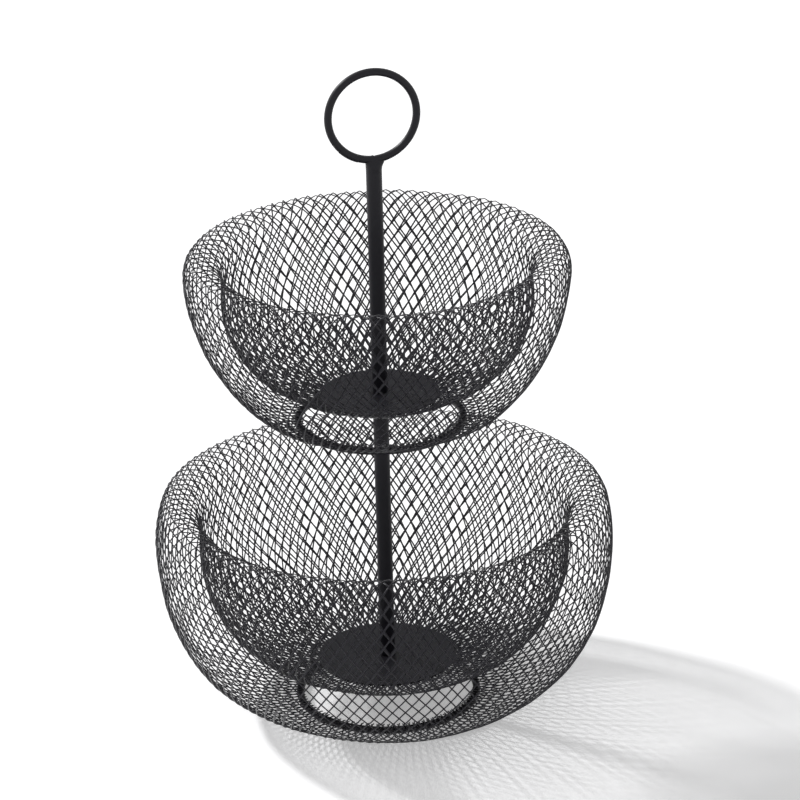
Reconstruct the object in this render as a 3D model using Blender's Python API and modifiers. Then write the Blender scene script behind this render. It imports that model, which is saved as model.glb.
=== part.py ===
# Fruit etagere: two double-walled wire mesh bowls, one over the other on a steel pole
# that ends in a ring handle. Metres, +Z up. The origin is on the table under the pole,
# and the handle ring lies in the XZ plane.

import math

import bmesh
import bpy
import numpy
from mathutils import Vector
from mathutils.geometry import interpolate_bezier

# Clearance left between pieces that touch
SEAT_GAP = 0.0003

# The sheet of mesh, as a coarse lattice of diamonds that stands for the fine one. A side
# turns half a cell round the pole, and all sides of a bowl come out alike, near MESH_SIDE.
# BAR_SHARE is half a strand's width as a share of a cell. HEM_SHARE is how much of the
# first and last row lies on the base ring and under the floor plate.
MESH_BAR = 0.0026
MESH_SIDE = 0.0335
BAR_SHARE = 0.042
HEM_SHARE = 0.125
LOWER_CELLS = 24
LOWER_CELL_ROWS = 6
UPPER_CELLS = 20
UPPER_CELL_ROWS = 5

# Base rings, bent from round bar
BASE_BAR_RADIUS = 0.0025
LOWER_BASE_RADIUS = 0.0590
UPPER_BASE_RADIUS = 0.0538

# Lower bowl, on the middle line of its sheet and above the underside of its base ring
LOWER_BELLY_RADIUS = 0.1497
LOWER_BELLY_HEIGHT = 0.1181
LOWER_RIM_RADIUS = 0.1415
LOWER_RIM_HEIGHT = 0.1471
LOWER_THROAT_RADIUS = 0.1212
LOWER_THROAT_HEIGHT = 0.1114
LOWER_FLOOR_HEIGHT = 0.0264
LOWER_PLATE_RADIUS = 0.0460

# Upper bowl, the same way
UPPER_TIER_HEIGHT = 0.1975
UPPER_BELLY_RADIUS = 0.1238
UPPER_BELLY_HEIGHT = 0.1051
UPPER_RIM_RADIUS = 0.1180
UPPER_RIM_HEIGHT = 0.1176
UPPER_THROAT_RADIUS = 0.0980
UPPER_THROAT_HEIGHT = 0.0849
UPPER_FLOOR_HEIGHT = 0.0181
UPPER_PLATE_RADIUS = 0.0390

# How far each bend reaches, as shares of the height or width that it turns through:
# foot, belly below, belly above, rim outside, rim inside, throat above, throat below,
# then the floor's width and its rise
LOWER_BEND_SHARES = (0.34, 0.82, 0.44, 0.61, 1.32, 0.10, 0.57, 0.55, 0.08)
UPPER_BEND_SHARES = (0.49, 0.41, 0.20, 0.58, 1.63, 0.10, 0.75, 0.10, 0.05)

# Floor plates
PLATE_THICKNESS = 0.0012
PLATE_EDGE_RADIUS = 0.0004
PLATE_OVERLAP = 0.0050

# Pole, in two lengths of the same tube
POLE_RADIUS = 0.0051
POLE_WALL = 0.0010
POLE_EDGE_RADIUS = 0.0003
UPPER_POLE_LENGTH = 0.1550

# Threaded inserts, stud, foot screw and its washer
THREAD_RADIUS = 0.0025
INSERT_LENGTH = 0.0120
STUD_LENGTH = 0.0260
SCREW_LENGTH = 0.0160
SCREW_HEAD_RADIUS = 0.00475
SCREW_HEAD_HEIGHT = 0.0027
SCREW_HEAD_ROUNDING = 0.0011
SOCKET_ACROSS_CORNERS = 0.0035
SOCKET_DEPTH = 0.0016
WASHER_RADIUS = 0.0075
WASHER_THICKNESS = 0.0010
TOP_PLUG_LENGTH = 0.0060

# Handle ring, bent from round bar and welded to the top of the pole
HANDLE_RADIUS = 0.02875
HANDLE_BAR_RADIUS = 0.0025
HANDLE_STAND_OFF = 0.0010
WELD_WIDTH = 0.0082
WELD_DEPTH = 0.0086
WELD_HEIGHT = 0.0050

# Faces round each kind of piece
BEND_STEPS = 24
RING_STEPS = 48
BAR_SIDES = 8
PLATE_STEPS = 40
POLE_STEPS = 24
SMALL_STEPS = 20
SHARP_ANGLE = math.radians(35)


def clear_scene():
    for old in list(bpy.data.objects):
        bpy.data.objects.remove(old)


def make_collection(name, is_hidden=False):
    collection = bpy.data.collections.new(name)
    collection.hide_render = is_hidden
    bpy.context.scene.collection.children.link(collection)
    return collection


def make_material(name, color, roughness, metallic):
    material = bpy.data.materials.new(name)
    material.use_nodes = True
    shader = material.node_tree.nodes["Principled BSDF"]
    shader.inputs["Base Color"].default_value = (*color, 1)
    shader.inputs["Roughness"].default_value = roughness
    shader.inputs["Metallic"].default_value = metallic
    material.diffuse_color = (*color, 1)
    return material


def powder_coat(name):
    return make_material(name + "_coat", (0.026, 0.026, 0.031), 0.42, 0.0)


def zinc(name):
    return make_material(name + "_zinc", (0.52, 0.53, 0.55), 0.35, 1.0)


def make_tier(name, height):
    tier = bpy.data.objects.new(name, None)
    tier.location = (0, 0, height)
    parts.objects.link(tier)
    return tier


def add_object(name, mesh, collection, parent, height, material):
    piece = bpy.data.objects.new(name, mesh)
    piece.location = (0, 0, height)
    piece.parent = parent
    if material:
        mesh.materials.append(material)
    collection.objects.link(piece)
    return piece


# A profile in the XZ plane turned once round the Z axis
def turn(name, points, closed, steps, parent, height, material, collection=None):
    edges = [(i, i + 1) for i in range(len(points) - 1)]
    if closed:
        edges.append((len(points) - 1, 0))
    mesh = bpy.data.meshes.new(name)
    mesh.from_pydata([(radius, 0, z) for radius, z in points], edges, [])
    piece = add_object(name, mesh, collection or parts, parent, height, material)
    screw = piece.modifiers.new("turn", "SCREW")
    screw.steps = steps
    screw.render_steps = steps
    screw.use_merge_vertices = True
    screw.merge_threshold = SEAT_GAP / 10
    screw.use_smooth_shade = False
    return piece


def soften_edges(piece, radius):
    bevel = piece.modifiers.new("edges", "BEVEL")
    bevel.width = radius
    bevel.segments = 1
    bevel.limit_method = "ANGLE"
    bevel.angle_limit = SHARP_ANGLE
    bevel.use_clamp_overlap = True


# The section of a washer, a plate or a tube
def ring_section(inner_radius, outer_radius, low, high):
    return [(outer_radius, high), (outer_radius, low), (inner_radius, low), (inner_radius, high)]


# A bar of flat-sided section whose flats touch the true circle, one of them underneath
def bar_section(ring_radius, bar_radius, height):
    corner_radius = bar_radius / math.cos(math.pi / BAR_SIDES)
    points = []
    for side in range(BAR_SIDES):
        angle = -2 * math.pi * (side + 0.5) / BAR_SIDES - math.pi / 2
        radius = ring_radius + corner_radius * math.cos(angle)
        points.append((radius, height + corner_radius * math.sin(angle)))
    return points


def bend(start, start_reach, end, end_reach, count):
    knots = [Vector((*point, 0)) for point in (start, start_reach, end_reach, end)]
    return [(point.x, point.y) for point in interpolate_bezier(*knots, count)]


# Middle line of a bowl's one sheet of mesh: from its cut edge on the base ring out to the
# belly, up over the rolled rim, down the inner wall and in under the floor plate
def bowl_profile(base, belly, rim, throat, floor, shares):
    foot_share, belly_low_share, belly_high_share, rim_out_share = shares[:4]
    rim_in_share, throat_high_share, throat_low_share = shares[4:7]
    floor_share, rise_share = shares[7:]
    foot = (base[0] + BASE_BAR_RADIUS, base[1])
    out_reach = (foot[0] + foot_share * (belly[0] - foot[0]), foot[1])
    belly_low = (belly[0], belly[1] - belly_low_share * (belly[1] - foot[1]))
    belly_high = (belly[0], belly[1] + belly_high_share * (rim[1] - belly[1]))
    rim_out = (rim[0] + rim_out_share * (belly[0] - rim[0]), rim[1])
    rim_in = (rim[0] - rim_in_share * (rim[0] - throat[0]), rim[1])
    throat_high = (throat[0], throat[1] + throat_high_share * (rim[1] - throat[1]))
    throat_low = (throat[0], throat[1] - throat_low_share * (throat[1] - floor[1]))
    floor_reach = (
        floor[0] + floor_share * (throat[0] - floor[0]),
        floor[1] + rise_share * (throat[1] - floor[1]),
    )
    points = [(base[0] - BASE_BAR_RADIUS, base[1])]
    points += bend(foot, out_reach, belly, belly_low, BEND_STEPS)
    points += bend(belly, belly_high, rim, rim_out, BEND_STEPS)[1:]
    points += bend(rim, rim_in, throat, throat_high, BEND_STEPS)[1:]
    points += bend(throat, throat_low, floor, floor_reach, BEND_STEPS)[1:]
    points.append((floor[0] - PLATE_OVERLAP, floor[1]))
    return points


# How many sides of a diamond each point of the section lies from the sheet's edge
def sides_along(points, cells):
    sides = [0]
    for (radius, z), (next_radius, next_z) in zip(points, points[1:]):
        run = math.hypot(next_radius - radius, next_z - z)
        half_cell = math.pi * (radius + next_radius) / 2 / cells
        sides.append(sides[-1] + run / math.sqrt(MESH_SIDE**2 - half_cell**2))
    return sides


# A flat sheet of diamonds, one unit across: a grid whose cells are poked, without its
# straight edges. It is cut along the diamonds, so that its ends meet round the pole. Every
# side has a corner halfway, and those at the sheet's edges have one more for the hems.
def flat_diamonds(shape, cells, rows):
    bmesh.ops.create_grid(shape, x_segments=cells + 1, y_segments=rows, size=1)
    for vert in shape.verts:
        vert.co.x = (1 + vert.co.x) / 2 * (cells + 1)
        vert.co.y = (1 + vert.co.y) / 2 * rows
    straight = [edge for edge in shape.edges if not edge.is_boundary]
    bmesh.ops.poke(shape, faces=shape.faces)
    bmesh.ops.dissolve_edges(shape, edges=straight)
    diagonals = [edge for edge in shape.edges if not edge.is_boundary]
    bmesh.ops.bisect_edges(shape, edges=diagonals, cuts=1)
    ends = []
    for edge in shape.edges:
        if not edge.is_boundary and {vert.co.y for vert in edge.verts} & {0, rows}:
            ends.append(edge)
    bmesh.ops.bisect_edges(shape, edges=ends, cuts=1)
    spare = []
    for face in shape.faces:
        if not 0 < round(2 * face.calc_center_bounds().x) <= 2 * cells:
            spare.append(face)
    bmesh.ops.delete(shape, geom=spare, context="FACES")


# Each diamond keeps a border, which is wrapped round the section and thickened along the
# strands, so that every strand is a bar with four flanks
def mesh_bowl(name, tier, points, cells, rows):
    mesh = bpy.data.meshes.new(name)
    bowl = add_object(name, mesh, parts, tier, 0, powder_coat(name))
    strands = bowl.vertex_groups.new(name="strands")
    shape = bmesh.new()
    flat_diamonds(shape, cells, rows)
    weights = shape.verts.layers.deform.verify()
    for vert in shape.verts:
        vert[weights][strands.index] = 1
    diamonds = list(shape.faces)
    bmesh.ops.inset_individual(
        shape, faces=diamonds, thickness=BAR_SHARE, use_even_offset=True
    )
    for vert in {vert for face in diamonds for vert in face.verts}:
        vert[weights].clear()
    bmesh.ops.delete(shape, geom=diamonds, context="FACES")
    sides = sides_along(points, cells)
    radii, heights = zip(*points)
    half_row = sides[-1] / rows / 2
    flat_hems = (0, HEM_SHARE, 0.5, rows - 0.5, rows - HEM_SHARE, rows)
    hems = (0, sides[1], half_row, sides[-1] - half_row, sides[-2], sides[-1])
    for vert in shape.verts:
        angle = 2 * math.pi * vert.co.x / cells
        reached = numpy.interp(vert.co.y, flat_hems, hems)
        radius = numpy.interp(reached, sides, radii)
        height = numpy.interp(reached, sides, heights)
        vert.co = (radius * math.cos(angle), radius * math.sin(angle), height)
    bmesh.ops.remove_doubles(shape, verts=shape.verts, dist=SEAT_GAP / 10)
    shape.to_mesh(mesh)
    shape.free()
    bars = bowl.modifiers.new("bars", "SOLIDIFY")
    bars.thickness = MESH_BAR
    bars.offset = 0
    bars.vertex_group = strands.name
    bars.thickness_vertex_group = 0
    flanks = bowl.modifiers.new("flanks", "WELD")
    flanks.merge_threshold = SEAT_GAP / 100


def base_ring(name, tier, ring_radius):
    section = bar_section(ring_radius, BASE_BAR_RADIUS, BASE_BAR_RADIUS)
    ring = turn(name, section, True, RING_STEPS, tier, 0, powder_coat(name))
    ring.modifiers["turn"].use_smooth_shade = True


def floor_plate(name, tier, plate_radius, low):
    section = ring_section(THREAD_RADIUS + SEAT_GAP, plate_radius, 0, PLATE_THICKNESS)
    plate = turn(name, section, True, PLATE_STEPS, tier, low, powder_coat(name))
    soften_edges(plate, PLATE_EDGE_RADIUS)


def pole_tube(name, tier, low, length):
    section = ring_section(POLE_RADIUS - POLE_WALL, POLE_RADIUS, 0, length)
    tube = turn(name, section, True, POLE_STEPS, tier, low, powder_coat(name))
    soften_edges(tube, POLE_EDGE_RADIUS)


def threaded_insert(name, tier, low):
    outer_radius = POLE_RADIUS - POLE_WALL - SEAT_GAP
    section = ring_section(THREAD_RADIUS + SEAT_GAP, outer_radius, 0, INSERT_LENGTH)
    turn(name, section, True, SMALL_STEPS, tier, low, zinc(name))


def round_bar(name, tier, radius, low, length):
    section = [(0, length), (radius, length), (radius, 0), (0, 0)]
    return turn(name, section, False, SMALL_STEPS, tier, low, zinc(name))


# A button head screw with a hexagon socket, its head down
def foot_screw(name, tier, seat):
    head_low = -SCREW_HEAD_HEIGHT
    rounded = SCREW_HEAD_RADIUS - SCREW_HEAD_ROUNDING
    section = [
        (0, SCREW_LENGTH),
        (THREAD_RADIUS, SCREW_LENGTH),
        (THREAD_RADIUS, 0),
        (SCREW_HEAD_RADIUS, 0),
        (SCREW_HEAD_RADIUS, head_low + SCREW_HEAD_ROUNDING),
        (rounded, head_low),
        (0, head_low),
    ]
    screw = turn(name, section, False, SMALL_STEPS, tier, seat, zinc(name))
    socket = bpy.data.meshes.new(name + "_socket")
    shape = bmesh.new()
    bmesh.ops.create_cone(
        shape,
        cap_ends=True,
        segments=6,
        radius1=SOCKET_ACROSS_CORNERS / 2,
        radius2=SOCKET_ACROSS_CORNERS / 2,
        depth=2 * SOCKET_DEPTH,
    )
    shape.to_mesh(socket)
    shape.free()
    cutter = add_object(name + "_socket", socket, cutters, tier, seat + head_low, None)
    cut(screw, cutter)


def cut(piece, cutter):
    cutter.hide_render = True
    cutter.display_type = "WIRE"
    boolean = piece.modifiers.new(cutter.name, "BOOLEAN")
    boolean.operation = "DIFFERENCE"
    boolean.object = cutter


def handle_ring(name, tier, center_height):
    bpy.ops.mesh.primitive_torus_add(
        major_segments=RING_STEPS,
        minor_segments=BAR_SIDES,
        major_radius=HANDLE_RADIUS,
        minor_radius=HANDLE_BAR_RADIUS,
        location=(0, 0, center_height),
        rotation=(math.pi / 2, 0, 0),
    )
    ring = bpy.context.object
    ring.name = name
    ring.data.name = name
    for home in list(ring.users_collection):
        home.objects.unlink(ring)
    parts.objects.link(ring)
    ring.parent = tier
    ring.data.materials.append(powder_coat(name))
    ring.data.shade_smooth()


# The weld fills the space between the pole's end and the ring, and rises on both sides
# of the bar. It is a flattened ball with the bar and the pole's end cut out of it.
def handle_weld(name, tier, pole_top, center_height):
    ball = bpy.data.meshes.new(name)
    shape = bmesh.new()
    bmesh.ops.create_uvsphere(shape, u_segments=SMALL_STEPS, v_segments=16, radius=0.5)
    bmesh.ops.scale(shape, verts=shape.verts, vec=(WELD_WIDTH, WELD_DEPTH, WELD_HEIGHT))
    shape.to_mesh(ball)
    shape.free()
    weld = add_object(name, ball, parts, tier, pole_top + SEAT_GAP, powder_coat(name))
    ball.shade_smooth()
    block = bpy.data.meshes.new(name + "_pole_end")
    shape = bmesh.new()
    bmesh.ops.create_cube(shape, size=2 * WELD_DEPTH)
    shape.to_mesh(block)
    shape.free()
    pole_end_height = pole_top + SEAT_GAP - WELD_DEPTH
    pole_end = add_object(name + "_pole_end", block, cutters, tier, pole_end_height, None)
    cut(weld, pole_end)
    section = bar_section(HANDLE_RADIUS, HANDLE_BAR_RADIUS + SEAT_GAP, 0)
    bar = turn(name + "_bar", section, True, RING_STEPS, tier, center_height, None, cutters)
    bar.rotation_euler = (math.pi / 2, 0, 0)
    cut(weld, bar)


clear_scene()
parts = make_collection("fruit_etagere")
cutters = make_collection("cutters", True)

# Heights within a tier that follow from the stock that the pieces are made of
sheet_reach = MESH_BAR / 2 + SEAT_GAP
sheet_foot = 2 * BASE_BAR_RADIUS + sheet_reach
lower_plate_low = LOWER_FLOOR_HEIGHT + sheet_reach
upper_plate_low = UPPER_FLOOR_HEIGHT + sheet_reach

lower_tier = make_tier("lower_tier", 0)
lower_profile = bowl_profile(
    (LOWER_BASE_RADIUS, sheet_foot),
    (LOWER_BELLY_RADIUS, LOWER_BELLY_HEIGHT),
    (LOWER_RIM_RADIUS, LOWER_RIM_HEIGHT),
    (LOWER_THROAT_RADIUS, LOWER_THROAT_HEIGHT),
    (LOWER_PLATE_RADIUS, LOWER_FLOOR_HEIGHT),
    LOWER_BEND_SHARES,
)
mesh_bowl("lower_mesh_bowl", lower_tier, lower_profile, LOWER_CELLS, LOWER_CELL_ROWS)
base_ring("lower_base_ring", lower_tier, LOWER_BASE_RADIUS)
floor_plate("lower_floor_plate", lower_tier, LOWER_PLATE_RADIUS, lower_plate_low)

upper_tier = make_tier("upper_tier", UPPER_TIER_HEIGHT)
upper_profile = bowl_profile(
    (UPPER_BASE_RADIUS, sheet_foot),
    (UPPER_BELLY_RADIUS, UPPER_BELLY_HEIGHT),
    (UPPER_RIM_RADIUS, UPPER_RIM_HEIGHT),
    (UPPER_THROAT_RADIUS, UPPER_THROAT_HEIGHT),
    (UPPER_PLATE_RADIUS, UPPER_FLOOR_HEIGHT),
    UPPER_BEND_SHARES,
)
mesh_bowl("upper_mesh_bowl", upper_tier, upper_profile, UPPER_CELLS, UPPER_CELL_ROWS)
base_ring("upper_base_ring", upper_tier, UPPER_BASE_RADIUS)
floor_plate("upper_floor_plate", upper_tier, UPPER_PLATE_RADIUS, upper_plate_low)

# The lower length of pole stands on the lower floor plate and carries the upper one
lower_pole_low = lower_plate_low + PLATE_THICKNESS + SEAT_GAP
lower_pole_high = UPPER_TIER_HEIGHT + upper_plate_low - SEAT_GAP
pole_tube("lower_pole", lower_tier, lower_pole_low, lower_pole_high - lower_pole_low)
threaded_insert("lower_pole_foot_insert", lower_tier, lower_pole_low)
threaded_insert("lower_pole_head_insert", lower_tier, lower_pole_high - INSERT_LENGTH)

washer_low = lower_plate_low - SEAT_GAP - WASHER_THICKNESS
washer_section = ring_section(THREAD_RADIUS + SEAT_GAP, WASHER_RADIUS, 0, WASHER_THICKNESS)
turn("foot_washer", washer_section, True, SMALL_STEPS, lower_tier, washer_low, zinc("foot_washer"))
foot_screw("foot_screw", lower_tier, washer_low - SEAT_GAP)

# The upper length clamps the upper floor plate, and one stud joins both lengths
upper_pole_low = upper_plate_low + PLATE_THICKNESS + SEAT_GAP
upper_pole_high = upper_pole_low + UPPER_POLE_LENGTH
pole_tube("upper_pole", upper_tier, upper_pole_low, UPPER_POLE_LENGTH)
threaded_insert("upper_pole_insert", upper_tier, upper_pole_low)
stud_low = upper_plate_low + PLATE_THICKNESS / 2 - STUD_LENGTH / 2
round_bar("joining_stud", upper_tier, THREAD_RADIUS, stud_low, STUD_LENGTH)
plug_radius = POLE_RADIUS - POLE_WALL - SEAT_GAP
plug_low = upper_pole_high - TOP_PLUG_LENGTH
round_bar("pole_top_plug", upper_tier, plug_radius, plug_low, TOP_PLUG_LENGTH)

handle_height = upper_pole_high + HANDLE_STAND_OFF + HANDLE_BAR_RADIUS + HANDLE_RADIUS
handle_ring("handle_ring", upper_tier, handle_height)
handle_weld("handle_weld", upper_tier, upper_pole_high, handle_height)
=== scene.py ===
import math

import bmesh
import bpy
from mathutils import Matrix, Vector
from mathutils.geometry import interpolate_bezier


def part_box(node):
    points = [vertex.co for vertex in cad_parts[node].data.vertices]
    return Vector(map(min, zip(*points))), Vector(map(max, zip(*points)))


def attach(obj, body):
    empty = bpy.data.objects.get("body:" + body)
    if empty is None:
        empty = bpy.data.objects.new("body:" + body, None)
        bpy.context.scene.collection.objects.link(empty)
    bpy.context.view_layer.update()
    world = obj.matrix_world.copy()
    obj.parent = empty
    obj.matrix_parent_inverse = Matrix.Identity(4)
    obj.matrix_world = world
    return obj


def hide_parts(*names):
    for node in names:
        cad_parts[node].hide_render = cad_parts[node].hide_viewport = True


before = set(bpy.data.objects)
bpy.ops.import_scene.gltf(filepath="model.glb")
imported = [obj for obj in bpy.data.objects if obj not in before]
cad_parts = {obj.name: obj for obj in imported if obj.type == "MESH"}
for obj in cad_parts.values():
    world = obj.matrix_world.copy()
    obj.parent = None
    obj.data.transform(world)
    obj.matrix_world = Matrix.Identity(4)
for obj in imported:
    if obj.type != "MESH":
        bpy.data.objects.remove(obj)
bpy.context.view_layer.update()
print("frame loaded:", len(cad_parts), "pieces")


# A socket of a material's nodes. Sums and products of it add Math nodes.
class Signal:
    def __init__(self, tree, socket=None):
        self.tree = tree
        self.socket = socket

    # Any node: its type, its settings, then the values or links of its sockets
    def node(self, kind, settings, values, output=0):
        made = self.tree.nodes.new(kind)
        for name, setting in settings.items():
            setattr(made, name, setting)
        for name, value in values.items():
            if isinstance(value, Signal):
                self.tree.links.new(value.socket, made.inputs[name])
            else:
                made.inputs[name].default_value = value
        return Signal(self.tree, made.outputs[output])

    def math(self, operation, first, second):
        return self.node("ShaderNodeMath", {"operation": operation}, {0: first, 1: second})

    def __add__(self, other):
        return self.math("ADD", self, other)

    def __radd__(self, other):
        return self.math("ADD", other, self)

    def __mul__(self, other):
        return self.math("MULTIPLY", self, other)

    def __rmul__(self, other):
        return self.math("MULTIPLY", other, self)


# Satin black powder coat, baked on all but the fasteners
powderCoat = {
    "deep": (0.0066, 0.0062, 0.0096, 1),
    "pale": (0.0128, 0.0121, 0.0170, 1),
    "mirror": 0.25,
    "roughness": 0.34,
    "roughnessSpread": 0.16,
    "cloudsPerMetre": 70,
    "cloudDetail": 4,
    "cloudShare": 0.7,  # of the spread of the roughness, the rest is the grain's
    "grainsPerMetre": 1900,
    "grainDetail": 2,
    "grainDepth": 0.00006,
    "grainStrength": 0.35,
}
wireGloss = {
    "deep": (0.0062, 0.0058, 0.0098, 1),
    "pale": (0.0120, 0.0112, 0.0188, 1),
    "mirror": 0.28,
    "roughness": 0.22,
    "grainStrength": 0.18,
}
plateGloss = {
    "pale": (0.0125, 0.0119, 0.0160, 1),
    "mirror": 0.16,
    "roughness": 0.42,
    "grainStrength": 0.28,
}


def newMaterial(name):
    material = bpy.data.materials.new(name)
    material.use_nodes = True
    shader = material.node_tree.nodes["Principled BSDF"]
    return material, shader, Signal(material.node_tree)


def plug(shader, values):
    for name, value in values.items():
        value.tree.links.new(value.socket, shader.inputs[name])


def noise(place, perMetre, detail):
    return place.node("ShaderNodeTexNoise", {}, {"Vector": place, "Scale": perMetre, "Detail": detail})


def blend(share, first, second):
    return share.node("ShaderNodeMix", {"data_type": "RGBA"}, {"Factor": share, 6: first, 7: second}, 2)


def coatMaterial(name, coat):
    material, shader, start = newMaterial(name)
    place = start.node("ShaderNodeTexCoord", {}, {}, "Object")
    clouds = noise(place, coat["cloudsPerMetre"], coat["cloudDetail"])
    grain = noise(place, coat["grainsPerMetre"], coat["grainDetail"])
    patches = coat["cloudShare"] * clouds + (1 - coat["cloudShare"]) * grain
    bump = {"Strength": coat["grainStrength"], "Distance": coat["grainDepth"], "Height": grain}
    plug(
        shader,
        {
            "Base Color": blend(clouds, coat["deep"], coat["pale"]),
            "Roughness": coat["roughness"] + coat["roughnessSpread"] * patches,
            "Normal": start.node("ShaderNodeBump", {}, bump),
        },
    )
    shader.inputs["Specular IOR Level"].default_value = coat["mirror"]
    return material


# Bright zinc plate on the fasteners inside the pole and under it
zincPlate = {
    "dull": (0.40, 0.41, 0.43, 1),
    "bright": (0.62, 0.63, 0.66, 1),
    "roughness": 0.24,
    "roughnessSpread": 0.22,
    "cloudsPerMetre": 260,
    "cloudDetail": 3,
    "cloudShare": 0.6,
    "ringsPerMetre": 900,
    "ringWobble": 0.4,
}


def zincMaterial(name, zinc):
    material, shader, start = newMaterial(name)
    place = start.node("ShaderNodeTexCoord", {}, {}, "Object")
    clouds = noise(place, zinc["cloudsPerMetre"], zinc["cloudDetail"])
    toolMarks = start.node(
        "ShaderNodeTexWave",
        {"wave_type": "RINGS", "rings_direction": "Z"},
        {"Vector": place, "Scale": zinc["ringsPerMetre"], "Distortion": zinc["ringWobble"]},
    )
    patches = zinc["cloudShare"] * clouds + (1 - zinc["cloudShare"]) * toolMarks
    plug(
        shader,
        {
            "Base Color": blend(clouds, zinc["dull"], zinc["bright"]),
            "Roughness": zinc["roughness"] + zinc["roughnessSpread"] * patches,
        },
    )
    shader.inputs["Metallic"].default_value = 1
    return material


barCoat = coatMaterial("satin black on bar", powderCoat)
wireCoat = coatMaterial("satin black on wire", {**powderCoat, **wireGloss})
plateCoat = coatMaterial("satin black on sheet", {**powderCoat, **plateGloss})
zincCoat = zincMaterial("bright zinc", zincPlate)
print("finishes mixed")


hair = 0.00001  # places closer than this count as level
mergeReach = 0.000002  # corners closer than this are merged


def deselect():
    if bpy.context.object and bpy.context.object.mode != "OBJECT":
        bpy.ops.object.mode_set(mode="OBJECT")
    bpy.ops.object.select_all(action="DESELECT")


def openPiece(piece, selected=True):
    deselect()
    piece.select_set(True)
    bpy.context.view_layer.objects.active = piece
    bpy.ops.object.mode_set(mode="EDIT")
    bpy.ops.mesh.select_all(action="SELECT" if selected else "DESELECT")


def closePiece():
    bpy.ops.object.mode_set(mode="OBJECT")


# Selects the corners, edges or faces that pass a test of their place or normal
def pick(piece, kind, test):
    modes = ("verts", "edges", "faces")
    bpy.context.tool_settings.mesh_select_mode = [kind == mode for mode in modes]
    shape = bmesh.from_edit_mesh(piece.data)
    for part in getattr(shape, kind):
        part.select_set(test(part))
    bmesh.update_edit_mesh(piece.data)


# Puts the place of a piece in its mesh, merges its doubles and turns its faces outwards
def settle(piece):
    deselect()
    piece.select_set(True)
    bpy.context.view_layer.objects.active = piece
    bpy.ops.object.transform_apply(location=True, rotation=True, scale=True)
    openPiece(piece)
    bpy.ops.mesh.remove_doubles(threshold=mergeReach)
    bpy.ops.mesh.normals_make_consistent(inside=False)
    closePiece()
    bpy.ops.object.shade_smooth()


def dress(piece, name, material, node):
    piece.name = name
    piece.data.name = name
    piece.data.materials.clear()
    piece.data.materials.append(material)
    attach(piece, "root")
    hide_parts(node)


# Middle line of the sheet of mesh, from the cut edge on the base ring over the belly and
# the rolled rim to the cut edge under the floor plate. Belly, rim and throat are a radius
# and a height over the base ring's underside. The bend shares say how far each bend reaches
# into the height or width that it turns through: at the foot, below and above the belly,
# outside and inside the rim, above and below the throat, and along and over the floor.
lowerBowl = {
    "name": "lower",
    "cellsRound": 106,
    "cellSide": 0.0073,
    "belly": (0.1497, 0.1181),
    "rim": (0.1415, 0.1471),
    "throat": (0.1212, 0.1114),
    "underPlate": 0.0050,
    "bendShares": (0.34, 0.82, 0.44, 0.61, 1.32, 0.28, 0.57, 0.55, 0.08),
}
upperBowl = {
    "name": "upper",
    "cellsRound": 84,
    "cellSide": 0.0073,
    "belly": (0.1238, 0.1051),
    "rim": (0.1180, 0.1176),
    "throat": (0.1002, 0.0890),
    "underPlate": 0.0050,
    "bendShares": (0.49, 0.41, 0.20, 0.58, 1.39, 0.30, 0.75, 0.10, 0.05),
}
# A strand is rolled flat: wide in the sheet, thin across it
strand = {
    "width": 0.00104,
    "thickness": 0.00064,
    "segmentsPerSide": 2,
    "quarterSteps": 2,  # of the outline, which makes a strand eight-sided
    "sectionPoints": 160,
    "layerShare": 0.43,  # how far each layer lies from the middle line, in thicknesses
    "firstCrossing": 0.4,  # from the cut end, in sides of a diamond
    "handBends": ((0.045, 0.0016), (0.013, 0.0005)),  # size and strength of the unevenness
}


def bend(start, startReach, end, endReach, count):
    knots = [Vector((*point, 0)) for point in (start, startReach, endReach, end)]
    return [point.xy for point in interpolate_bezier(*knots, count)]


def meshSection(bowl):
    ringLow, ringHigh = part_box(bowl["name"] + "_base_ring")
    plateLow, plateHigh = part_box(bowl["name"] + "_floor_plate")
    bar = ringHigh.z - ringLow.z
    reach = (0.5 + strand["layerShare"]) * strand["thickness"]
    foot = Vector((ringHigh.x, ringHigh.z + reach))
    belly, rim, throat = [
        Vector((radius, ringLow.z + height))
        for radius, height in (bowl["belly"], bowl["rim"], bowl["throat"])
    ]
    floor = Vector((plateHigh.x, plateLow.z - reach))
    share = bowl["bendShares"]
    count = strand["sectionPoints"]
    points = [foot - Vector((bar, 0))]
    points += bend(
        foot,
        (foot.x + share[0] * (belly.x - foot.x), foot.y),
        belly,
        (belly.x, belly.y - share[1] * (belly.y - foot.y)),
        count,
    )
    points += bend(
        belly,
        (belly.x, belly.y + share[2] * (rim.y - belly.y)),
        rim,
        (rim.x + share[3] * (belly.x - rim.x), rim.y),
        count,
    )[1:]
    points += bend(
        rim,
        (rim.x - share[4] * (rim.x - throat.x), rim.y),
        throat,
        (throat.x, throat.y + share[5] * (rim.y - throat.y)),
        count,
    )[1:]
    points += bend(
        throat,
        (throat.x, throat.y - share[6] * (throat.y - floor.y)),
        floor,
        (
            floor.x + share[7] * (throat.x - floor.x),
            floor.y + share[8] * (throat.y - floor.y),
        ),
        count,
    )[1:]
    points.append(floor - Vector((bowl["underPlate"], 0)))
    return points


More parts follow.
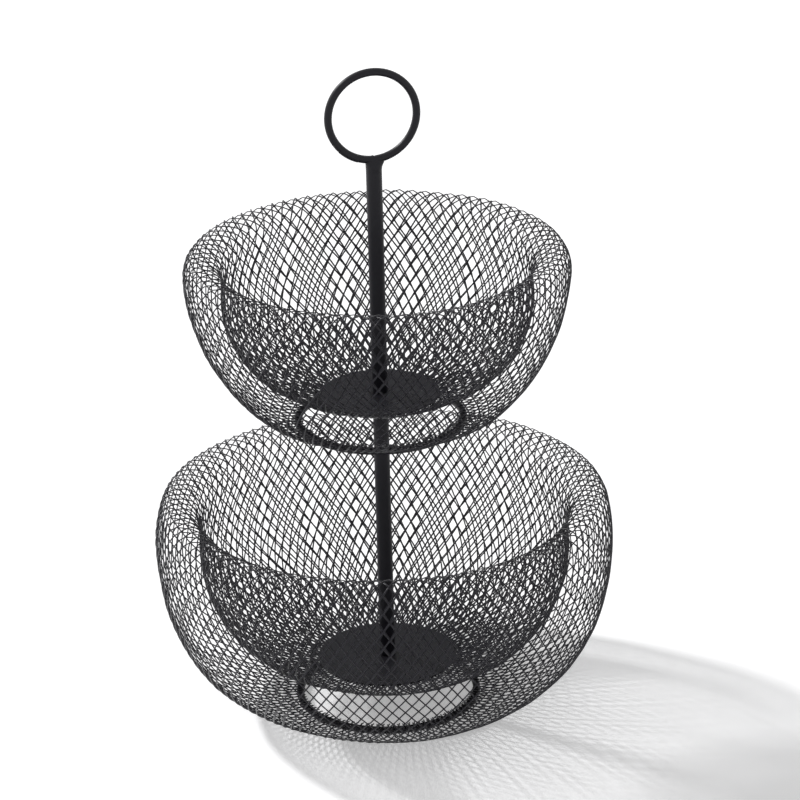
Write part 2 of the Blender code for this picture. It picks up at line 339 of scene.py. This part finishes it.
# One strand: its points, and at each the turn that lays it flat in the sheet. It goes half
# a cell round for every side of a diamond, so all sides are alike.
def strandPath(bowl, layer):
    section = meshSection(bowl)
    halfCell = math.pi / bowl["cellsRound"]
    offset = layer * strand["layerShare"] * strand["thickness"]
    stations = []
    sides = 0
    for here, there in zip(section, section[1:]):
        run = there - here
        out = Vector((run.y, -run.x)).normalized()
        stations.append((sides, here + out * offset, out))
        width = halfCell * (here.x + there.x) / 2
        sides += run.length / math.sqrt(bowl["cellSide"] ** 2 - width**2)
    stations.append((sides, section[-1] + out * offset, out))
    path = []
    normals = []
    index = 0
    steps = math.floor(sides * strand["segmentsPerSide"])
    start = strand["firstCrossing"] * halfCell
    for step in range(steps + 1):
        wanted = sides * step / steps
        while stations[index + 1][0] < wanted and index < len(stations) - 2:
            index += 1
        (before, low, lowOut), (after, high, highOut) = stations[index], stations[index + 1]
        share = (wanted - before) / (after - before)
        point = low.lerp(high, share)
        out = lowOut.lerp(highOut, share)
        around = Matrix.Rotation(layer * (wanted * halfCell - start), 3, "Z")
        path.append(around @ Vector((point.x, 0, point.y)))
        normals.append(around @ Vector((out.x, 0, out.y)))
    turns = []
    for index, (point, normal) in enumerate(zip(path, normals)):
        along = path[min(index + 1, steps)] - path[max(index - 1, 0)]
        level = Vector((0, 0, 1)).cross(along).normalized()
        upright = along.cross(level).normalized()
        turn = math.atan2(normal.dot(upright), normal.dot(level))
        if turns:
            turn += math.pi * round((turns[-1] - turn) / math.pi)
        turns.append(turn)
    return path, turns


# The outline that is drawn along each strand
def strandOutline():
    deselect()
    bpy.ops.curve.primitive_bezier_circle_add(radius=0.5)
    outline = bpy.context.object
    outline.name = "strandOutline"
    outline.data.resolution_u = strand["quarterSteps"]
    bpy.ops.object.mode_set(mode="EDIT")
    bpy.ops.curve.select_all(action="SELECT")
    bpy.ops.transform.resize(value=(strand["thickness"], strand["width"], 1))
    bpy.ops.object.mode_set(mode="OBJECT")
    return outline


# Bends one strand as a curve, makes it a mesh and copies it round the pole
def meshLayer(bowl, layer, name, outline):
    path, turns = strandPath(bowl, layer)
    deselect()
    bpy.ops.curve.primitive_nurbs_path_add()
    piece = bpy.context.object
    piece.data.splines.clear()
    spline = piece.data.splines.new("POLY")
    spline.points.add(len(path) - 1)
    for point, place, turn in zip(spline.points, path, turns):
        point.co = (*place, 1)
        point.tilt = turn
    piece.data.dimensions = "3D"
    piece.data.twist_mode = "Z_UP"
    piece.data.bevel_mode = "OBJECT"
    piece.data.bevel_object = outline
    piece.data.use_fill_caps = True
    piece.location = (0, 0, 0)
    bpy.ops.object.convert(target="MESH")
    openPiece(piece)
    bpy.ops.mesh.remove_doubles(threshold=mergeReach)
    bpy.ops.mesh.normals_make_consistent(inside=False)
    bpy.ops.mesh.select_all(action="SELECT")
    copies = bowl["cellsRound"] - 1
    bpy.ops.mesh.spin(
        steps=copies,
        dupli=True,
        angle=math.tau * copies / bowl["cellsRound"],
        center=(0, 0, 0),
        axis=(0, 0, 1),
    )
    closePiece()
    for size, strength in strand["handBends"]:
        clouds = bpy.data.textures.new(name + "Clouds", "CLOUDS")
        clouds.cloud_type = "COLOR"
        clouds.noise_scale = size
        uneven = piece.modifiers.new("uneven", "DISPLACE")
        uneven.texture = clouds
        uneven.texture_coords = "LOCAL"
        uneven.direction = "RGB_TO_XYZ"
        uneven.strength = strength
        uneven.mid_level = 0.5
        bpy.ops.object.modifier_apply(modifier=uneven.name)
    bpy.ops.object.shade_smooth()
    dress(piece, name, wireCoat, bowl["name"] + "_mesh_bowl")
    print(name, "bent:", len(piece.data.polygons), "faces")


outline = strandOutline()
for bowl in (lowerBowl, upperBowl):
    meshLayer(bowl, 1, bowl["name"] + "_outer_strands", outline)
    meshLayer(bowl, -1, bowl["name"] + "_inner_strands", outline)
bpy.data.objects.remove(outline)


# A round bar bent to a ring about the Z axis, with a butt weld ground almost flush
baseRing = {
    "barSides": 20,
    "stepsRound": 180,
    "seamAngle": 2.4,
    "seamWidth": 0.0022,
    "seamFrom": 1 / 3,  # how high on the bar the ground seam starts, in bar radiuses
    "seamRise": 0.00018,
}


def bentRing(name, node):
    low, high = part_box(node)
    radius = (high.z - low.z) / 2
    center = high.x - radius
    deselect()
    bpy.ops.mesh.primitive_circle_add(
        vertices=baseRing["barSides"],
        radius=radius,
        location=(center, 0, low.z + radius),
        rotation=(math.pi / 2, 0, 0),
    )
    piece = bpy.context.object
    settle(piece)
    openPiece(piece)
    bpy.ops.mesh.spin(steps=baseRing["stepsRound"], angle=math.tau, center=(0, 0, 0), axis=(0, 0, 1))
    closePiece()
    settle(piece)
    openPiece(piece, False)
    seam = Vector((math.cos(baseRing["seamAngle"]), math.sin(baseRing["seamAngle"]), 0)) * center
    seam.z = low.z + radius
    reach = radius + baseRing["seamWidth"] / 2
    foot = low.z + radius * baseRing["seamFrom"]
    pick(piece, "verts", lambda vert: (vert.co - seam).length < reach and vert.co.z > foot)
    bpy.ops.transform.shrink_fatten(value=baseRing["seamRise"])
    closePiece()
    dress(piece, name, barCoat, node)
    print(name, "bent")


bentRing("lower_base_bar", "lower_base_ring")
bentRing("upper_base_bar", "upper_base_ring")


# A turned piece: a section drawn as a flat face, its corners rounded, spun about the Z axis
turning = {"stepsRound": 144, "cornerSegments": 3, "smoothAngle": math.radians(40)}


def turnedPiece(name, node, material, inner, outer, low, high, rounding, steps=None):
    deselect()
    bpy.ops.mesh.primitive_plane_add(size=1, location=((inner + outer) / 2, 0, (low + high) / 2))
    piece = bpy.context.object
    piece.rotation_euler = (math.pi / 2, 0, 0)
    piece.scale = (outer - inner, high - low, 1)
    settle(piece)
    openPiece(piece)
    bpy.ops.mesh.bevel(
        offset=rounding, segments=turning["cornerSegments"], affect="VERTICES", profile=0.5
    )
    bpy.ops.mesh.delete(type="ONLY_FACE")
    bpy.ops.mesh.select_all(action="SELECT")
    bpy.ops.mesh.spin(
        steps=steps or turning["stepsRound"], angle=math.tau, center=(0, 0, 0), axis=(0, 0, 1)
    )
    closePiece()
    settle(piece)
    bpy.ops.object.shade_smooth_by_angle(angle=turning["smoothAngle"])
    dress(piece, name, material, node)
    print(name, "turned")


floorPlate = {"hole": 0.0028, "rounding": 0.00045}
poleTube = {"bore": 0.0041, "rounding": 0.00035, "stepsRound": 64}
for tier in ("lower", "upper"):
    plateLow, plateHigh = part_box(tier + "_floor_plate")
    turnedPiece(
        tier + "_floor_disc",
        tier + "_floor_plate",
        plateCoat,
        floorPlate["hole"],
        plateHigh.x,
        plateLow.z,
        plateHigh.z,
        floorPlate["rounding"],
    )
    poleLow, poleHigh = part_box(tier + "_pole")
    turnedPiece(
        tier + "_pole_tube",
        tier + "_pole",
        barCoat,
        poleTube["bore"],
        poleHigh.x,
        poleLow.z,
        poleHigh.z,
        poleTube["rounding"],
        poleTube["stepsRound"],
    )


# The handle: round bar bent to a ring that stands in the XZ plane, its ends butted at the foot
handle = {
    "barSides": 24,
    "stepsRound": 176,
    "seamTurn": 0.020,
    "nickReach": 0.0002,
    "nickShare": 0.89,
    "burrSpan": (-0.0013, -0.0007),  # beside the seam
    "burrFrom": 0.8,  # how far from the bar's middle the burr starts, in bar radiuses
    "burrRise": 0.00035,
}
# The bead's rings: height over the pole's end, reach to the left and right, reach in depth
weld = {
    "rings": (
        (-0.0062, 0.00500, 0.00500, 0.00500),
        (-0.0040, 0.00513, 0.00514, 0.00513),
        (-0.0022, 0.00518, 0.00526, 0.00518),
        (-0.0008, 0.00520, 0.00556, 0.00516),
        (0.0004, 0.00526, 0.00620, 0.00490),
        (0.0015, 0.00532, 0.00690, 0.00420),
        (0.0026, 0.00524, 0.00700, 0.00340),
        (0.0038, 0.00480, 0.00580, 0.00270),
        (0.0046, 0.00380, 0.00420, 0.00200),
    ),
    "sides": 48,
    "barRadius": 0.00258,
    "barDrop": 0.00018,
    "arc": 0.27,
    "arcSteps": 12,
    "endReach": 1.2,  # in bar radiuses
    "endShare": 0.80,
    "voxel": 0.00022,
    "smoothings": 12,
}


def barCircle(center, ringRadius, barRadius, angle, sides):
    deselect()
    place = Vector((math.cos(angle) * ringRadius, 0, math.sin(angle) * ringRadius)) + center
    bpy.ops.mesh.primitive_circle_add(vertices=sides, radius=barRadius, location=place)
    piece = bpy.context.object
    piece.rotation_euler = (0, -angle, 0)
    settle(piece)
    return piece


def handleRing():
    low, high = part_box("handle_ring")
    barRadius = (high.y - low.y) / 2
    ringRadius = (high.x - low.x) / 2 - barRadius
    center = (low + high) / 2
    foot = handle["seamTurn"] - math.pi / 2
    piece = barCircle(center, ringRadius, barRadius, foot, handle["barSides"])
    openPiece(piece)
    bpy.ops.mesh.spin(steps=handle["stepsRound"], angle=math.tau, center=center, axis=(0, 1, 0))
    closePiece()
    settle(piece)
    openPiece(piece, False)
    seam = center + Vector((math.sin(handle["seamTurn"]), 0, -math.cos(handle["seamTurn"]))) * ringRadius
    nick = handle["nickReach"]
    pick(piece, "verts", lambda vert: abs(vert.co.x - seam.x) < nick and vert.co.z < center.z)
    bpy.ops.transform.resize(value=(1, handle["nickShare"], handle["nickShare"]), center_override=seam)
    start, end = handle["burrSpan"]
    inside = seam.z + barRadius * handle["burrFrom"]
    pick(
        piece,
        "verts",
        lambda vert: start < vert.co.x - seam.x < end and inside < vert.co.z < center.z,
    )
    bpy.ops.transform.translate(value=(0, 0, handle["burrRise"]))
    closePiece()
    dress(piece, "handle_bar", barCoat, "handle_ring")
    print("handle bent")
    return center, ringRadius


# The bead that covers the pole's end, narrows to the ring's bar and runs out along it
def handleWeld(center, ringRadius):
    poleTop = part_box("upper_pole")[1].z
    dropped = center - Vector((0, 0, weld["barDrop"]))
    foot = -math.pi / 2 - weld["arc"]
    bead = barCircle(dropped, ringRadius, weld["barRadius"], foot, handle["barSides"])
    openPiece(bead)
    bpy.ops.mesh.edge_face_add()
    bpy.ops.mesh.spin(
        steps=weld["arcSteps"], angle=-2 * weld["arc"], center=dropped, axis=(0, 1, 0)
    )
    endReach = weld["endReach"] * weld["barRadius"]
    for side in (-1, 1):
        end = dropped + Vector((side * math.sin(weld["arc"]), 0, -math.cos(weld["arc"]))) * ringRadius
        pick(bead, "verts", lambda vert: (vert.co - end).length < endReach)
        bpy.ops.transform.resize(value=(weld["endShare"],) * 3, center_override=end)
    closePiece()
    settle(bead)
    rings = weld["rings"]
    deselect()
    bpy.ops.mesh.primitive_circle_add(
        vertices=weld["sides"],
        radius=rings[0][1],
        fill_type="NGON",
        location=(0, 0, poleTop + rings[0][0]),
    )
    stub = bpy.context.object
    settle(stub)
    openPiece(stub)
    for before, ring in zip(rings, rings[1:]):
        rise = ring[0] - before[0]
        top = poleTop + ring[0]
        middle = Vector((0, 0, top))
        bpy.ops.mesh.extrude_region_move(TRANSFORM_OT_translate={"value": (0, 0, rise)})
        for side in (1, 2):
            share = ring[side] / before[side]
            facing = (-1, 1)[side - 1]
            pick(stub, "verts", lambda vert: vert.co.z > top - hair and vert.co.x * facing > 0)
            bpy.ops.transform.resize(value=(share, 1, 1), center_override=middle)
        pick(stub, "faces", lambda face: min(vert.co.z for vert in face.verts) > top - hair)
        bpy.ops.transform.resize(value=(1, ring[3] / before[3], 1), center_override=middle)
    closePiece()
    settle(stub)
    bead.select_set(True)
    bpy.ops.object.join()
    stub.data.remesh_voxel_size = weld["voxel"]
    bpy.ops.object.voxel_remesh()
    soft = stub.modifiers.new("soft", "SMOOTH")
    soft.factor = 0.5
    soft.iterations = weld["smoothings"]
    bpy.ops.object.modifier_apply(modifier=soft.name)
    bpy.ops.object.shade_smooth()
    dress(stub, "handle_weld_bead", barCoat, "handle_weld")
    print("handle welded")


handleCenter, handleRadius = handleRing()
handleWeld(handleCenter, handleRadius)


# The washer and the button head screw under the lower floor plate
screw = {
    "shank": 0.0025,
    "stepsRound": 48,
    "neckRounding": 0.0005,
    "neckSegments": 2,
    "headRounding": 0.0014,
    "headSegments": 6,
    "socketRadius": 0.00175,
    "socketDepth": 0.0016,
    "smoothAngle": math.radians(35),
    "washerHole": 0.0028,
    "washerRounding": 0.00022,
    "washerSteps": 64,
}


def footWasher():
    low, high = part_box("foot_washer")
    turnedPiece(
        "plain_washer",
        "foot_washer",
        zincCoat,
        screw["washerHole"],
        high.x,
        low.z,
        high.z,
        screw["washerRounding"],
        screw["washerSteps"],
    )


def footScrew():
    low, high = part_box("foot_screw")
    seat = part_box("foot_washer")[0].z
    deselect()
    bpy.ops.mesh.primitive_cylinder_add(
        vertices=screw["stepsRound"],
        radius=high.x,
        depth=seat - low.z,
        location=(0, 0, (seat + low.z) / 2),
    )
    piece = bpy.context.object
    settle(piece)
    openPiece(piece, False)
    pick(piece, "faces", lambda face: face.normal.z > 0.9)
    bpy.ops.mesh.inset(thickness=high.x - screw["shank"])
    bpy.ops.mesh.extrude_region_move(TRANSFORM_OT_translate={"value": (0, 0, high.z - seat)})
    bpy.ops.mesh.bevel(offset=screw["neckRounding"], segments=screw["neckSegments"], affect="EDGES")
    pick(piece, "edges", lambda edge: all(vert.co.z < low.z + hair for vert in edge.verts))
    bpy.ops.mesh.bevel(offset=screw["headRounding"], segments=screw["headSegments"], affect="EDGES")
    closePiece()
    deselect()
    bpy.ops.mesh.primitive_cylinder_add(
        vertices=6,
        radius=screw["socketRadius"],
        depth=2 * screw["socketDepth"],
        location=(0, 0, low.z),
    )
    socket = bpy.context.object
    socket.name = "socketCutter"
    deselect()
    piece.select_set(True)
    bpy.context.view_layer.objects.active = piece
    cut = piece.modifiers.new("socket", "BOOLEAN")
    cut.operation = "DIFFERENCE"
    cut.object = socket
    bpy.ops.object.modifier_apply(modifier=cut.name)
    bpy.data.objects.remove(socket)
    bpy.ops.object.shade_smooth_by_angle(angle=screw["smoothAngle"])
    dress(piece, "button_head_screw", zincCoat, "foot_screw")
    print("screw and washer in place")


footWasher()
footScrew()

# What the pole holds inside keeps its solid and gets its plating
for name in (
    "lower_pole_foot_insert",
    "lower_pole_head_insert",
    "upper_pole_insert",
    "joining_stud",
    "pole_top_plug",
):
    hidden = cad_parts[name]
    hidden.data.materials.clear()
    hidden.data.materials.append(zincCoat)

# The floor is pale, and nearly white to the camera, but keeps the shadows
studio = {
    "white": (1, 1, 1, 1),
    "floorSize": 30,
    "floorColor": (0.90, 0.90, 0.91, 1),
    "floorRoughness": 0.85,
    "floorGlow": 0.34,
    "ambient": 0.29,
    "sunFrom": (-0.92, 1.05, 1.0),
    "sunAngle": math.radians(5),
    "sunPower": 2.8,
    "boxPlace": (-2.4, 1.1, 1.7),
    "boxSize": 2.4,
    "boxPower": 14,
}


# 1 on rays from the camera, and on those that go on from a glossy or clear surface
def shownRays(start):
    straight, mirrored, sentOn = [
        start.node("ShaderNodeLightPath", {}, {}, f"Is {kind} Ray")
        for kind in ("Camera", "Glossy", "Transmission")
    ]
    return start.math("MAXIMUM", straight, start.math("MAXIMUM", mirrored, sentOn))


def buildFloor():
    deselect()
    bpy.ops.mesh.primitive_plane_add(size=studio["floorSize"], location=(0, 0, 0))
    floor = bpy.context.object
    floor.name = "studio_floor"
    material, shader, start = newMaterial("pale floor")
    shader.inputs["Base Color"].default_value = studio["floorColor"]
    shader.inputs["Roughness"].default_value = studio["floorRoughness"]
    shader.inputs["Emission Color"].default_value = studio["white"]
    plug(shader, {"Emission Strength": studio["floorGlow"] * shownRays(start)})
    floor.data.materials.append(material)


def buildLight(name, kind, place, power):
    deselect()
    bpy.ops.object.light_add(type=kind, location=place)
    lamp = bpy.context.object
    lamp.name = name
    lamp.data.energy = power
    lamp.rotation_euler = (-Vector(place)).to_track_quat("-Z", "Y").to_euler()
    return lamp


# A low soft sun behind on the left draws the mesh on the floor, beside a wide softbox
def buildLights():
    sun = buildLight("sunLight", "SUN", studio["sunFrom"], studio["sunPower"])
    sun.data.angle = studio["sunAngle"]
    box = buildLight("softbox", "AREA", studio["boxPlace"], studio["boxPower"])
    box.data.shape = "DISK"
    box.data.size = studio["boxSize"]


def buildWorld():
    world = bpy.data.worlds.new("studio")
    world.use_nodes = True
    bpy.context.scene.world = world
    seen = shownRays(Signal(world.node_tree))
    background = world.node_tree.nodes["Background"]
    background.inputs["Color"].default_value = studio["white"]
    plug(background, {"Strength": studio["ambient"] + (1 - studio["ambient"]) * seen})


# The photograph's viewpoint: the camera stands to the front left and looks down
camera = {
    "distance": 2.149,
    "height": 1.1125,
    "turn": math.radians(14.3),
    "aimSideways": 0.0127,
    "aimHeight": 0.2122,
    "roll": math.radians(1.5),
    "lens": 161.7,
    "sensor": 36,
    "clip": (0.05, 100),
}


def buildCamera():
    turn = Matrix.Rotation(-camera["turn"], 4, "Z")
    place = turn @ Vector((0, -camera["distance"], camera["height"]))
    aim = turn @ Vector((camera["aimSideways"], 0, camera["aimHeight"]))
    deselect()
    bpy.ops.object.camera_add(location=place)
    eye = bpy.context.object
    eye.name = "photographEye"
    look = (aim - place).to_track_quat("-Z", "Y").to_matrix().to_4x4()
    eye.rotation_euler = (look @ Matrix.Rotation(-camera["roll"], 4, "Z")).to_euler()
    eye.data.lens = camera["lens"]
    eye.data.sensor_width = camera["sensor"]
    eye.data.clip_start, eye.data.clip_end = camera["clip"]
    bpy.context.scene.camera = eye


buildFloor()
buildLights()
buildWorld()
buildCamera()
bpy.context.scene.view_settings.view_transform = "Standard"
print("studio lit")
